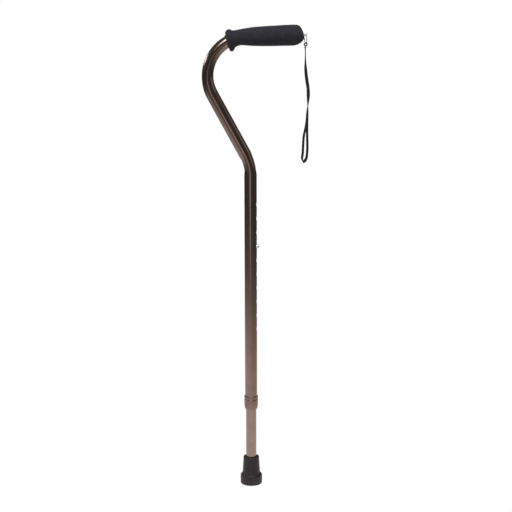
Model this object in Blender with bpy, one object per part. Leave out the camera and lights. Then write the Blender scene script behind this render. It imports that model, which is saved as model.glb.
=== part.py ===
"""Single point offset cane: a bent upper tube with a foam grip, sliding on a straight lower tube.

The cane stands upright. The origin is the middle of the rubber tip's sole, +Z is up, the grip's
free end points along +X, and the bent tube lies in the plane Y = 0. Lengths are in metres.
Each piece is one object, and each empty sits on the axis that its children move about.
"""

import math

import bmesh
import bpy
from mathutils import Matrix, Vector

# Tubes: a 7/8 inch upper tube slides on a 3/4 inch lower tube.
UPPER_RADIUS = 0.0111
UPPER_WALL = 0.00127
LOWER_RADIUS = 0.009525
LOWER_WALL = 0.0012
UPPER_BOTTOM = 0.151
LOWER_BOTTOM = 0.008
LOWER_TOP = 0.472
GAP = 0.0003

# Bends of the upper tube, from the bottom up. Turns are in degrees, to the left when positive.
LOWER_BEND_CORNER = 0.596
LOWER_BEND_RADIUS = 0.078
LEAN = 28.6
INCLINE = 0.1185
UPPER_BEND_RADIUS = 0.0678
HANDLE_RISE = 1.9
HANDLE_RUN = 0.0934
BEND_FLATTENING = 0.08
BEND_BULGE = 0.02

# Height adjustment: ten holes an inch apart, three above the button and six below it.
BUTTON_HEIGHT = 0.4472
HOLE_PITCH = 0.0254
HOLES_ABOVE = 3
HOLES_BELOW = 6
HOLE_RADIUS = 0.0039
BUTTON_RADIUS = 0.0035
BUTTON_REACH = 0.0151

# Locking collar: a fixed ring above a nut that squeezes a split ring onto the lower tube.
NUT_BOTTOM = 0.144
NUT_TOP = 0.1631
NUT_RADIUS = 0.01255
NUT_BORE = 0.0114
RING_TOP = 0.169
CLAMP_BOTTOM = 0.1464

# Foam grip, as (distance along the handle from the middle of its flange, radius).
GRIP_OUTLINE = (
    (-0.0070, 0.0126), (-0.0068, 0.0154), (-0.0051, 0.0180), (-0.0018, 0.0193),
    (0.0012, 0.0184), (0.0033, 0.0163), (0.0056, 0.0145), (0.0110, 0.0138),
    (0.0172, 0.0138), (0.0243, 0.0145), (0.0347, 0.0158), (0.0440, 0.0165),
    (0.0560, 0.0171), (0.0720, 0.0175), (0.0880, 0.0178), (0.1010, 0.0180),
    (0.1090, 0.0179), (0.1145, 0.0176), (0.1184, 0.0168), (0.1216, 0.0149),
    (0.1244, 0.0120), (0.1266, 0.0082), (0.1279, 0.0023),
)
GRIP_FLANGE_BACK = 0.0249
GRIP_BORE = UPPER_RADIUS + 2 * GAP
GRIP_BORE_END = 0.1212
GRIP_FLANGE_LEAN = 0.5
GRIP_END_TILT = 6.0
GRIP_END_FROM = 0.106

# Ring, eye and wrist strap at the grip's free end.
EYE_RADIUS = 0.00195
EYE_WIRE = 0.00065
EYE_REACH = 0.0966
RING_RADIUS = 0.0075
RING_WIRE = 0.0005
RING_TURN = 18.0
STRAP_EYE_WIDTH = 0.0030
STRAP_EYE_WALL = 0.0019
STRAP_EYE_HALF = 0.0032
STRAP_CAD_RADIUS = 0.0006
CRIMP_SIZE = (0.0030, 0.0054, 0.0026)
CRIMP_TOP = 0.8008

# The strap hangs as two plies of one band that lie face to face and twist, then part into a loop.
# Each station is (height, middle x, half the space between the plies, their turn from +X).
STRAP_STATIONS = (
    (0.7979, 0.0961, 0.00075, 0), (0.7860, 0.0963, 0.00075, 0), (0.7740, 0.0964, 0.00075, 12),
    (0.7630, 0.0969, 0.00085, 32), (0.7510, 0.0980, 0.0010, 52), (0.7400, 0.0996, 0.0010, 72),
    (0.7290, 0.1013, 0.0010, 90), (0.7180, 0.1017, 0.0010, 118), (0.7080, 0.1016, 0.0010, 155),
    (0.6980, 0.1011, 0.0010, 180), (0.6870, 0.1004, 0.0010, 197), (0.6760, 0.0999, 0.0010, 212),
    (0.6660, 0.0993, 0.0014, 220), (0.6560, 0.0983, 0.0027, 224), (0.6450, 0.0972, 0.0047, 226),
    (0.6320, 0.0970, 0.0057, 228), (0.6200, 0.0968, 0.0060, 228), (0.6100, 0.0963, 0.0060, 228),
    (0.6035, 0.0956, 0.0046, 228),
)
STRAP_BOTTOM = (0.5990, 0.0952)
STRAP_POINTS = 78

SIDES = 32
SMALL_SIDES = 20


def clear_scene():
    for obj in list(bpy.data.objects):
        bpy.data.objects.remove(obj)


def finish_for(name, colour, roughness, metallic=0.0):
    material = bpy.data.materials.new(name)
    material.use_nodes = True
    shader = material.node_tree.nodes["Principled BSDF"]
    shader.inputs["Base Color"].default_value = (*colour, 1.0)
    shader.inputs["Roughness"].default_value = roughness
    shader.inputs["Metallic"].default_value = metallic
    return material


def pivot(name, place, parent=None):
    """An empty on a joint's axis."""
    empty = bpy.data.objects.new(name, None)
    empty.empty_display_size = 0.02
    bpy.context.collection.objects.link(empty)
    empty.location = place
    if parent:
        hang(empty, parent)
    return empty


def hang(obj, parent):
    """Parents an object to an unturned empty and leaves it where it is."""
    obj.parent = parent
    obj.matrix_parent_inverse = Matrix.Translation(-parent.location)


def add(name, mesh, material, place=(0.0, 0.0, 0.0), turn=None, parent=None):
    obj = bpy.data.objects.new(name, mesh)
    bpy.context.collection.objects.link(obj)
    mesh.materials.append(material)
    obj.location = place
    if turn:
        obj.rotation_euler = turn
    if parent:
        hang(obj, parent)
    return obj


def loft(name, rings, closed=False, sharp=35.0):
    """A closed body through rings of points. A ring of one point is a pole, and other ends are filled."""
    bm = bmesh.new()
    made = [[bm.verts.new(point) for point in ring] for ring in rings]
    pairs = list(zip(made, made[1:]))
    if closed:
        pairs.append((made[-1], made[0]))
    for first, second in pairs:
        join_rings(bm, first, second)
    if not closed:
        for ring in (made[0], made[-1]):
            if len(ring) > 1:
                bm.faces.new(ring)
    bmesh.ops.recalc_face_normals(bm, faces=bm.faces)
    if bm.calc_volume(signed=True) < 0:
        bmesh.ops.reverse_faces(bm, faces=bm.faces)
    mesh = bpy.data.meshes.new(name)
    bm.to_mesh(mesh)
    bm.free()
    mesh.shade_smooth()
    mesh.set_sharp_from_angle(angle=math.radians(sharp))
    return mesh


def join_rings(bm, first, second):
    count = max(len(first), len(second))
    for i in range(count):
        j = (i + 1) % count
        near = [first[i % len(first)], first[j % len(first)]]
        far = [second[j % len(second)], second[i % len(second)]]
        bm.faces.new(list(dict.fromkeys(near + far)))


def circle(radius, height, sides):
    if radius == 0:
        return [Vector((0.0, 0.0, height))]
    turns = [2 * math.pi * i / sides for i in range(sides)]
    return [Vector((radius * math.cos(a), radius * math.sin(a), height)) for a in turns]


def turned(name, profile, sides=SIDES, closed=True):
    """A body turned about Z from its (radius, height) profile."""
    return loft(name, [circle(radius, height, sides) for radius, height in profile], closed)


def arc(centre, radius, start, end, steps):
    """Points on an arc, as (radius, height), from one angle to another in degrees."""
    angles = [math.radians(start + (end - start) * k / steps) for k in range(steps + 1)]
    return [(centre[0] + radius * math.cos(a), centre[1] + radius * math.sin(a)) for a in angles]


def cut(obj, name, mesh):
    """Subtracts a helper mesh from an object."""
    cutter = bpy.data.objects.new(name, mesh)
    bpy.context.collection.objects.link(cutter)
    cutter.hide_render = True
    cutter.display_type = "WIRE"
    if obj.parent:
        hang(cutter, obj.parent)
    modifier = obj.modifiers.new(name, "BOOLEAN")
    modifier.object = cutter
    modifier.operation = "DIFFERENCE"
    modifier.solver = "EXACT"


def drill(heights, radius, start, end):
    """Cylinders along +X at these heights, from x = start to x = end."""
    bm = bmesh.new()
    for height in heights:
        place = Matrix.Translation(((start + end) / 2, 0, height)) @ Matrix.Rotation(math.pi / 2, 4, "Y")
        bmesh.ops.create_cone(
            bm, cap_ends=True, segments=SMALL_SIDES, radius1=radius, radius2=radius,
            depth=end - start, matrix=place,
        )
    mesh = bpy.data.meshes.new("drill")
    bm.to_mesh(mesh)
    bm.free()
    return mesh


# The bent tube's centreline. A frame is (place, heading in radians from +X, share of full ovalness).
def tube_frames():
    tangent = LOWER_BEND_RADIUS * math.tan(math.radians(LEAN) / 2)
    upper_turn = LEAN + 90 - HANDLE_RISE
    legs = (
        (LOWER_BEND_CORNER - tangent - UPPER_BOTTOM, 0.0, 1),
        (LOWER_BEND_RADIUS * math.radians(LEAN), LEAN, 8),
        (INCLINE, 0.0, 1),
        (UPPER_BEND_RADIUS * math.radians(upper_turn), -upper_turn, 22),
        (HANDLE_RUN, 0.0, 1),
    )
    place = Vector((0.0, 0.0, UPPER_BOTTOM))
    heading = math.pi / 2
    frames = [(place, heading, 0.0)]
    for length, turn, steps in legs:
        for k in range(1, steps + 1):
            step = math.radians(turn) / steps
            chord = length / steps * (math.sin(step / 2) / (step / 2) if step else 1.0)
            place = place + chord * direction(heading + step / 2)
            heading += step
            oval = min(1.0, 4 * k / steps, 4 * (steps - k) / steps) if turn else 0.0
            frames.append((place, heading, oval))
    return frames


def direction(heading):
    return Vector((math.cos(heading), 0.0, math.sin(heading)))


def oval_ring(frame, radius, sides=SIDES):
    """The tube's section at a frame, flattened in the plane of the bend."""
    place, heading, oval = frame
    across = direction(heading + math.pi / 2) * radius * (1 - BEND_FLATTENING * oval)
    out = Vector((0.0, radius * (1 + BEND_BULGE * oval), 0.0))
    turns = [2 * math.pi * i / sides for i in range(sides)]
    return [place + across * math.cos(a) + out * math.sin(a) for a in turns]


def handle_frame(distance):
    """A frame on the handle's centreline, at a distance from the middle of the grip's flange."""
    end = tube_frames()[-1]
    start = end[0] - HANDLE_RUN * direction(end[1])
    along = distance - GRIP_FLANGE_BACK
    if along >= 0:
        return start + along * direction(end[1]), end[1], 0.0
    step = along / UPPER_BEND_RADIUS
    chord = 2 * UPPER_BEND_RADIUS * math.sin(step / 2)
    return start + chord * direction(end[1] - step / 2), end[1] - step, 0.0


def smooth(points, steps):
    """Points on a curve through these ones (Catmull-Rom), with this many steps between neighbours."""
    padded = [2 * points[0] - points[1], *points, 2 * points[-1] - points[-2]]
    made = []
    for a, b, c, d in zip(padded, padded[1:], padded[2:], padded[3:]):
        for k in range(steps):
            t = k / steps
            square = (2 * a - 5 * b + 4 * c - d) * t**2
            cube = (3 * b - a - 3 * c + d) * t**3
            made.append(0.5 * (2 * b + (c - a) * t + square + cube))
    return [*made, points[-1]]


def make_upper_tube(material, parent):
    frames = tube_frames()
    outer = [oval_ring(frame, UPPER_RADIUS) for frame in frames]
    inner = [oval_ring(frame, UPPER_RADIUS - UPPER_WALL) for frame in reversed(frames)]
    tube = add("upper_tube", loft("upper_tube", outer + inner, closed=True), material, parent=parent)
    rows = range(-HOLES_BELOW, HOLES_ABOVE + 1)
    heights = [BUTTON_HEIGHT + row * HOLE_PITCH for row in rows]
    cut(tube, "adjustment_holes", drill(heights, HOLE_RADIUS, 0.004, 0.016))


def make_grip(material, parent):
    outer = []
    for distance, radius in GRIP_OUTLINE:
        place, heading, _ = handle_frame(distance)
        rise = math.radians(HANDLE_RISE)
        lean = rise + GRIP_FLANGE_LEAN * (heading - rise)
        to_end = max(0.0, (distance - GRIP_END_FROM) / (GRIP_OUTLINE[-1][0] - GRIP_END_FROM))
        lean += math.radians(GRIP_END_TILT - HANDLE_RISE) * to_end
        outer.append(oval_ring((place, lean, 0.0), radius))
    last = GRIP_OUTLINE[-1]
    inner = [oval_ring(handle_frame(GRIP_BORE_END), last[1]), oval_ring(handle_frame(GRIP_BORE_END), GRIP_BORE)]
    back = GRIP_OUTLINE[0][0]
    for k in range(7):
        inner.append(oval_ring(handle_frame(GRIP_FLANGE_BACK * (1 - k / 6) + back * k / 6), GRIP_BORE))
    add("foam_grip", loft("foam_grip", outer + inner, closed=True, sharp=60.0), material, parent=parent)


def along_handle(obj, distance):
    """Sets a body turned about its own Z on the handle's axis, pointing out of the grip's free end."""
    place, heading, _ = handle_frame(distance)
    obj.location = place
    obj.rotation_euler = (0.0, math.pi / 2 - heading, 0.0)


def make_handle_plug(material, parent):
    spigot, flange, hole = 0.0095, 0.0108, 0.0015
    profile = (
        (hole, -0.016), (spigot - 0.0008, -0.016), (spigot, -0.0148), (spigot, GAP),
        (flange, GAP), (flange, 0.0020), (flange - 0.0006, 0.0025), (hole, 0.0025),
    )
    plug = add("handle_plug", turned("handle_plug", profile), material, parent=parent)
    along_handle(plug, GRIP_FLANGE_BACK + HANDLE_RUN)


def wire_ring(name, radius, wire, sides, wire_sides):
    """A round wire bent into a full circle about Z."""
    return turned(name, arc((radius, 0.0), wire, 0, 360 - 360 / wire_sides, wire_sides - 1), sides)


def eye_place():
    place, heading, _ = handle_frame(GRIP_FLANGE_BACK)
    return place + direction(heading) * (EYE_REACH - place.x) / math.cos(heading)


def make_screw_eye(material, parent):
    shank, length = 0.0009, 0.020
    eye = add("screw_eye", wire_ring("screw_eye", EYE_RADIUS, EYE_WIRE, 24, 10), material, parent=parent)
    eye.location = eye_place()
    eye.rotation_euler = (math.pi / 2, 0.0, 0.0)
    stem = turned("screw_eye_shank", ((0, 0), (shank, 0), (shank, length), (0, length)), 16, closed=False)
    helper = bpy.data.objects.new("screw_eye_shank", stem)
    bpy.context.collection.objects.link(helper)
    helper.hide_render = True
    helper.display_type = "WIRE"
    _, heading, _ = handle_frame(GRIP_FLANGE_BACK)
    helper.location = eye_place() - direction(heading) * (length + EYE_RADIUS)
    helper.rotation_euler = (0.0, math.pi / 2 - heading, 0.0)
    hang(helper, parent)
    union = eye.modifiers.new("shank", "BOOLEAN")
    union.object = helper
    union.operation = "UNION"
    union.solver = "EXACT"


def ring_top():
    """The middle of the split ring's wire where it rests in the eye."""
    return eye_place() - Vector((0.0, 0.0, EYE_RADIUS - EYE_WIRE - GAP - RING_WIRE))


def ring_bottom():
    return ring_top() - Vector((0.0, 0.0, 2 * RING_RADIUS))


def make_split_ring(material, parent):
    ring = add("split_ring", wire_ring("split_ring", RING_RADIUS, RING_WIRE, SIDES, 8), material, parent=parent)
    ring.location = ring_top() - Vector((0.0, 0.0, RING_RADIUS))
    ring.rotation_euler = (math.pi / 2, 0.0, math.radians(90 - RING_TURN))


def make_strap_eye(material, parent):
    """The band's short loop through the ring, an upright stadium of band in the plane across the ring."""
    top = ring_bottom().z + RING_WIRE + 0.00045 + STRAP_EYE_WALL
    bottom = CRIMP_TOP + GAP
    outer_half = STRAP_EYE_HALF
    inner_half = outer_half - STRAP_EYE_WALL
    along = Vector((math.sin(math.radians(RING_TURN)), math.cos(math.radians(RING_TURN)), 0.0))
    across = Vector((along.y, -along.x, 0.0))
    middle = Vector((ring_bottom().x, 0.0, 0.0))

    def stadium(half, side):
        upper = arc((0.0, top - outer_half), half, 0, 180, 8)
        lower = arc((0.0, bottom + outer_half), half, 180, 360, 8)
        shift = middle + along * side * STRAP_EYE_WIDTH / 2
        return [shift + across * x + Vector((0.0, 0.0, z)) for x, z in upper + lower]

    rings = [stadium(outer_half, -1), stadium(outer_half, 1), stadium(inner_half, 1), stadium(inner_half, -1)]
    add("strap_eye", loft("strap_eye", rings, closed=True), material, parent=parent)


def make_strap_crimp(material, parent):
    bm = bmesh.new()
    bmesh.ops.create_cube(bm, size=1.0, matrix=Matrix.Diagonal((*CRIMP_SIZE, 1.0)))
    mesh = bpy.data.meshes.new("strap_crimp")
    bm.to_mesh(mesh)
    bm.free()
    place = (STRAP_STATIONS[0][1], 0.0, CRIMP_TOP - CRIMP_SIZE[2] / 2)
    crimp = add("strap_crimp", mesh, material, place, parent=parent)
    bevel = crimp.modifiers.new("rounded", "BEVEL")
    bevel.width = 0.0005
    bevel.segments = 2


def strap_route():
    """The loop's points, down one ply and up the other."""
    down, up = [], []
    for height, middle, half, turn in STRAP_STATIONS:
        spread = Vector((math.cos(math.radians(turn)), math.sin(math.radians(turn)), 0.0)) * half
        centre = Vector((middle, 0.0, height))
        down.append(centre - spread)
        up.append(centre + spread)
    low = Vector((STRAP_BOTTOM[1], 0.0, STRAP_BOTTOM[0]))
    return [*down, low, *reversed(up)]


def evenly(points, count):
    """Points at even distances along a run of points."""
    lengths = [0.0]
    for a, b in zip(points, points[1:]):
        lengths.append(lengths[-1] + (b - a).length)
    made, k = [], 0
    for i in range(count):
        target = lengths[-1] * i / (count - 1)
        while k < len(points) - 2 and lengths[k + 1] < target:
            k += 1
        made.append(points[k].lerp(points[k + 1], (target - lengths[k]) / (lengths[k + 1] - lengths[k])))
    return made


def make_wrist_strap(material, parent):
    points = evenly(smooth(strap_route(), 12), STRAP_POINTS)
    curve = bpy.data.curves.new("wrist_strap", "CURVE")
    curve.dimensions = "3D"
    curve.bevel_depth = STRAP_CAD_RADIUS
    curve.bevel_resolution = 2
    curve.use_fill_caps = True
    spline = curve.splines.new("POLY")
    spline.points.add(len(points) - 1)
    for point, place in zip(spline.points, points):
        point.co = (*place, 1.0)
    add("wrist_strap", curve, material, parent=parent)


def make_stop_ring(material, parent):
    base = NUT_TOP + GAP
    chamfer = 0.0007
    profile = (
        (NUT_BORE, base), (NUT_RADIUS - 0.0003, base), (NUT_RADIUS, base + 0.0003),
        (NUT_RADIUS, RING_TOP - 2 * chamfer), (NUT_RADIUS - chamfer, RING_TOP), (NUT_BORE, RING_TOP),
    )
    add("stop_ring", turned("stop_ring", profile), material, parent=parent)


def make_lock_nut(material, parent):
    """The nut's skirt rounds in to the lower tube, and its cone presses the clamp ring."""
    skirt_top, throat, skirt_edge = 0.1538, LOWER_RADIUS + GAP, 0.0104
    skirt = []
    for k in range(7):
        angle = math.radians(90 * k / 6)
        radius = skirt_edge + (NUT_RADIUS - skirt_edge) * math.cos(angle)
        skirt.append((radius, skirt_top - (skirt_top - NUT_BOTTOM) * math.sin(angle)))
    profile = (
        (NUT_BORE, NUT_TOP), (NUT_RADIUS - 0.0004, NUT_TOP), (NUT_RADIUS, NUT_TOP - 0.0004), *skirt,
        (throat, NUT_BOTTOM), (throat, NUT_BOTTOM + 0.0012), (0.0109, NUT_BOTTOM + 0.002),
        (NUT_BORE, NUT_BOTTOM + 0.006),
    )
    add("lock_nut", turned("lock_nut", profile), material, parent=parent)


def make_clamp_ring(material, parent):
    inside = LOWER_RADIUS + GAP
    top = UPPER_BOTTOM - GAP
    profile = ((inside, CLAMP_BOTTOM), (0.0106, CLAMP_BOTTOM), (0.0110, top), (inside, top))
    ring = add("clamp_ring", turned("clamp_ring", profile), material, parent=parent)
    bm = bmesh.new()
    place = Matrix.Translation((-0.0105, 0, (CLAMP_BOTTOM + top) / 2))
    bmesh.ops.create_cube(bm, size=1.0, matrix=place @ Matrix.Diagonal((0.004, 0.0014, 0.008, 1.0)))
    slit = bpy.data.meshes.new("slit")
    bm.to_mesh(slit)
    bm.free()
    cut(ring, "clamp_slit", slit)


def make_lower_tube(material):
    inside = LOWER_RADIUS - LOWER_WALL
    profile = (
        (inside, LOWER_BOTTOM), (LOWER_RADIUS, LOWER_BOTTOM),
        (LOWER_RADIUS, LOWER_TOP), (inside, LOWER_TOP),
    )
    tube = add("lower_tube", turned("lower_tube", profile), material)
    cut(tube, "button_hole", drill([BUTTON_HEIGHT], BUTTON_RADIUS + GAP, 0.004, 0.014))


def make_guide_bush(material):
    spigot, flange, hole = LOWER_RADIUS - LOWER_WALL - GAP, 0.0096, 0.0050
    base = LOWER_TOP + GAP
    profile = (
        (hole, base - 0.014), (spigot - 0.0006, base - 0.014), (spigot, base - 0.013), (spigot, base),
        (flange, base), (flange, base + 0.0042), (flange - 0.0010, base + 0.0052), (hole, base + 0.0052),
    )
    add("guide_bush", turned("guide_bush", profile), material)


def make_snap_button(material, parent):
    """Turned about the button's own axis, which lies along +X: a flange inside the tube, then a domed stem."""
    flange_back, flange_front, flange = 0.0063, 0.0069, 0.0044
    dome = [
        (BUTTON_RADIUS * math.cos(math.radians(a)), BUTTON_REACH - 0.0013 + 0.0013 * math.sin(math.radians(a)))
        for a in (0, 25, 50, 70)
    ]
    profile = (
        (0, flange_back), (flange, flange_back), (flange, flange_front), (BUTTON_RADIUS, flange_front),
        *dome, (0, BUTTON_REACH),
    )
    mesh = turned("snap_button", profile, SMALL_SIDES, closed=False)
    add("snap_button", mesh, material, (0.0, 0.0, BUTTON_HEIGHT), (0.0, math.pi / 2, 0.0), parent)


def make_button_spring(material):
    """A strip bent into a narrow U, whose right leg carries the button."""
    width, thickness = 0.009, 0.0006
    route = [
        Vector((x, 0.0, z))
        for x, z in (
            (-0.0062, 0.454), (-0.0063, 0.438), (-0.0060, 0.420), (-0.0044, 0.4085), (-0.0016, 0.4055),
            (0.0016, 0.4060), (0.0038, 0.4100), (0.0050, 0.420), (0.0056, 0.438), (0.0056, 0.455),
        )
    ]
    points = smooth(route, 3)
    rings = []
    for k, place in enumerate(points):
        ahead = (points[min(k + 1, len(points) - 1)] - points[max(k - 1, 0)]).normalized()
        across = Vector((-ahead.z, 0.0, ahead.x)) * thickness / 2
        side = Vector((0.0, width / 2, 0.0))
        front, back = place + side, place - side
        rings.append([front + across, front - across, back - across, back + across])
    add("button_spring", loft("button_spring", rings), material)


def make_rubber_tip(material):
    """A ferrule with a flared foot, ring treads under it and a socket for the lower tube."""
    tread = 0.0015
    foot, shoulder, height, rim = 0.0200, 0.0187, 0.0520, 0.0144
    socket, floor = LOWER_RADIUS + GAP, 0.0058
    sole = (
        (0, 0), (0.0055, 0), (0.0061, tread), (0.0085, tread), (0.0091, 0), (0.0125, 0),
        (0.0131, tread), (0.0150, tread), (0.0156, 0),
    )
    profile = (
        *sole,
        *arc((foot - 0.0012, 0.0012), 0.0012, -90, 0, 3),
        *arc((foot - 0.0029, shoulder - 0.0025), 0.0025, 0, 90, 4),
        (0.0166, shoulder + 0.0006),
        (0.0163, shoulder + 0.0022),
        *arc((rim - 0.0014, height - 0.0014), 0.0014, 0, 90, 4),
        (socket + 0.0006, height),
        (socket, height - 0.0008),
        (socket, floor),
        (0, floor),
    )
    add("rubber_tip", turned("rubber_tip", profile, closed=False), material)


def make_tip_washer(material):
    top = LOWER_BOTTOM - GAP
    profile = ((0.0040, 0.0061), (0.0094, 0.0061), (0.0094, top), (0.0040, top))
    add("tip_washer", turned("tip_washer", profile, SMALL_SIDES + 8), material)


def main():
    clear_scene()
    bronze = finish_for("bronze_anodised", (0.16, 0.11, 0.09), 0.28, 1.0)
    bronze_leg = finish_for("bronze_leg", (0.33, 0.25, 0.20), 0.38, 1.0)
    collar_bronze = finish_for("collar_bronze", (0.27, 0.18, 0.15), 0.32, 1.0)
    foam = finish_for("black_foam", (0.030, 0.030, 0.040), 0.9)
    rubber = finish_for("black_rubber", (0.035, 0.026, 0.030), 0.6)
    steel = finish_for("plated_steel", (0.62, 0.62, 0.62), 0.25, 1.0)
    spring_steel = finish_for("spring_steel", (0.35, 0.36, 0.38), 0.35, 1.0)
    black_plastic = finish_for("black_plastic", (0.03, 0.03, 0.03), 0.45)
    white_plastic = finish_for("white_nylon", (0.75, 0.74, 0.70), 0.45)
    webbing = finish_for("black_webbing", (0.02, 0.02, 0.02), 0.8)

    height_axis = pivot("height_axis", (0.0, 0.0, UPPER_BOTTOM))
    collar_axis = pivot("collar_axis", (0.0, 0.0, NUT_BOTTOM), height_axis)
    button_axis = pivot("button_axis", (0.0, 0.0, BUTTON_HEIGHT))
    ring_pivot = pivot("ring_pivot", eye_place() - Vector((0.0, 0.0, EYE_RADIUS)), height_axis)
    strap_pivot = pivot("strap_pivot", ring_bottom(), ring_pivot)

    make_upper_tube(bronze, height_axis)
    make_grip(foam, height_axis)
    make_handle_plug(black_plastic, height_axis)
    make_screw_eye(steel, height_axis)
    make_split_ring(steel, ring_pivot)
    make_strap_eye(webbing, strap_pivot)
    make_strap_crimp(black_plastic, strap_pivot)
    make_wrist_strap(webbing, strap_pivot)
    make_stop_ring(collar_bronze, height_axis)
    make_lock_nut(collar_bronze, collar_axis)
    make_clamp_ring(white_plastic, collar_axis)
    make_lower_tube(bronze_leg)
    make_guide_bush(white_plastic)
    make_snap_button(steel, button_axis)
    make_button_spring(spring_steel)
    make_rubber_tip(rubber)
    make_tip_washer(steel)


main()
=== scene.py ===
import math

import bmesh
import bpy
import numpy as np
from mathutils import Matrix, Vector, noise


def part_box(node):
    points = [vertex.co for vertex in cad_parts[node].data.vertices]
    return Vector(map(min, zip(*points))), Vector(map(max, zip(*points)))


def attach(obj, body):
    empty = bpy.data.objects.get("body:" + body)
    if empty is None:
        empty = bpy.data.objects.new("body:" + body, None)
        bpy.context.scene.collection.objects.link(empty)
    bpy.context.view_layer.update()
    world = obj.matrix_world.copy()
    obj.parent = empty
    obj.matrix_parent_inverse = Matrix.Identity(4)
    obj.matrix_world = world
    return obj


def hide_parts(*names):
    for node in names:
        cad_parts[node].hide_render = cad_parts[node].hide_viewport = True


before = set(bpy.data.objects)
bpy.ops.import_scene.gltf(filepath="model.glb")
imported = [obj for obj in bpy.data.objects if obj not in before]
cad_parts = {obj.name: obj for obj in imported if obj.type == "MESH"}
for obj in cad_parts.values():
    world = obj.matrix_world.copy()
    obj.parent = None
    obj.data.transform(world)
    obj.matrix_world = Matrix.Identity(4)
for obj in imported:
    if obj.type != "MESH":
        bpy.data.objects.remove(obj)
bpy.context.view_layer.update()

# The single point cane stands at the origin with +Z up, and its grip's free end points along +X.
# Lengths are in metres. Each piece below rides on a CAD body and stands for one CAD node.

# The bent tube, with the CAD's own driving dimensions.
UPPER_RADIUS = 0.0111
UPPER_WALL = 0.00127
LOWER_WALL = 0.0012
LOWER_BEND_CORNER = 0.596
LOWER_BEND_RADIUS = 0.078
LEAN = 28.6
INCLINE = 0.1185
UPPER_BEND_RADIUS = 0.0678
HANDLE_RISE = 1.9
HANDLE_RUN = 0.0934
BEND_FLATTENING = 0.08
BEND_BULGE = 0.02
HOLE_PITCH = 0.0254
HOLES_ABOVE = 3
HOLES_BELOW = 6
HOLE_RADIUS = 0.0039

# Foam grip, as (distance along the handle from the middle of its flange, radius).
GRIP_OUTLINE = (
    (-0.0070, 0.0122), (-0.0071, 0.0154), (-0.0051, 0.0181), (-0.0018, 0.0193),
    (0.0014, 0.0184), (0.0036, 0.0163), (0.0060, 0.0146), (0.0110, 0.0138),
    (0.0172, 0.0138), (0.0243, 0.0145), (0.0347, 0.0158), (0.0440, 0.0165),
    (0.0560, 0.0171), (0.0720, 0.0175), (0.0880, 0.0178), (0.1010, 0.0180),
    (0.1090, 0.0180), (0.1140, 0.0179), (0.1185, 0.0175), (0.1220, 0.0163),
    (0.1246, 0.0140), (0.1262, 0.0108), (0.1271, 0.0068), (0.1275, 0.0030), (0.1275, 0.0013),
)
GRIP_FLANGE_BACK = 0.0249
GRIP_BORE = 0.0114
GRIP_BORE_END = 0.1212
GRIP_FLANGE_LEAN = 0.5
# From GRIP_END_FROM on, the grip's sections tilt back, and what hangs more than GRIP_CUT_BELOW under
# its middle is drawn up by a share of up to GRIP_UNDERCUT.
GRIP_END_FROM = 0.106
GRIP_END_TILT = 14.0
GRIP_CUT_BELOW = 0.0025
GRIP_UNDERCUT = 0.58

# Wrist strap: (height, middle x, half the space between the plies, their turn from +X in degrees, roll
# of the band out of the upright in degrees), down the two plies from the crimp. Then the lowest point.
STRAP_STATIONS = (
    (0.7979, 0.0961, 0.00045, 0, 0), (0.7860, 0.0963, 0.00045, 0, 0), (0.7740, 0.0964, 0.00060, 12, 0),
    (0.7630, 0.0969, 0.00100, 32, 0), (0.7510, 0.0980, 0.0010, 50, 0), (0.7400, 0.0996, 0.0010, 68, 0),
    (0.7290, 0.1013, 0.0010, 88, 0), (0.7180, 0.1018, 0.0010, 116, 0), (0.7080, 0.1016, 0.00092, 153, 0),
    (0.6980, 0.1011, 0.00055, 178, 0), (0.6870, 0.1004, 0.00092, 196, 0), (0.6760, 0.0999, 0.0010, 211, 0),
    (0.6660, 0.0993, 0.0014, 220, 0), (0.6560, 0.0983, 0.0027, 225, 0), (0.6450, 0.0972, 0.0047, 228, 0),
    (0.6320, 0.0970, 0.0058, 229, 0), (0.6220, 0.0968, 0.0062, 229, 2), (0.6150, 0.0964, 0.0062, 229, 10),
    (0.6084, 0.0956, 0.0063, 228, 24), (0.6042, 0.0949, 0.0054, 228, 42), (0.6013, 0.0943, 0.0033, 228, 58),
)
STRAP_BOTTOM = (0.6000, 0.0940, 0.0, 228, 66)
STRAP_WIDTH = 0.0054
STRAP_THICKNESS = 0.0008
# How far the plated ring's wire is turned from +Y, in degrees.
RING_TURN = 18.0

# Camera: its place, its tilt below the horizon and its roll, in degrees.
CAMERA_PLACE = (0.0095, -2.1200, 0.8362)
CAMERA_TILT = 10.85
CAMERA_ROLL = -0.12
CAMERA_LENS = 84.375

# Sides of a round piece.
FINE = 96
MEDIUM = 48

WHITE = (1.0, 1.0, 1.0, 1.0)
BLACK = (0.0, 0.0, 0.0, 1.0)


# Materials

def put(tree, kind, inputs=None, **settings):
    """Adds a shader node. An input is a value or another node's output."""
    node = tree.nodes.new("ShaderNode" + kind)
    for key, value in settings.items():
        setattr(node, key, value)
    for key, value in (inputs or {}).items():
        if isinstance(value, bpy.types.NodeSocket):
            tree.links.new(value, node.inputs[key])
        else:
            node.inputs[key].default_value = value
    return node


def colour(red, green, blue):
    """A linear colour from its usual 0 to 255 values."""
    def linear(value):
        value /= 255
        return value / 12.92 if value <= 0.04045 else ((value + 0.055) / 1.055) ** 2.4
    return (linear(red), linear(green), linear(blue), 1.0)


def new_material(name, metallic=0.0, **sockets):
    """A material with a plain Principled shader, as (material, tree, shader)."""
    material = bpy.data.materials.new(name)
    material.use_nodes = True
    tree = material.node_tree
    shader = tree.nodes["Principled BSDF"]
    shader.inputs["Metallic"].default_value = metallic
    for key, value in sockets.items():
        shader.inputs[key.replace("_", " ").title().replace("Ior", "IOR")].default_value = value
    return material, tree, shader


def place_of(tree, attribute=None):
    """A point's place on the piece: its own coordinates, or a stored attribute."""
    if attribute:
        return put(tree, "Attribute", attribute_name=attribute).outputs["Vector"]
    return put(tree, "TexCoord").outputs["Object"]


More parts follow.
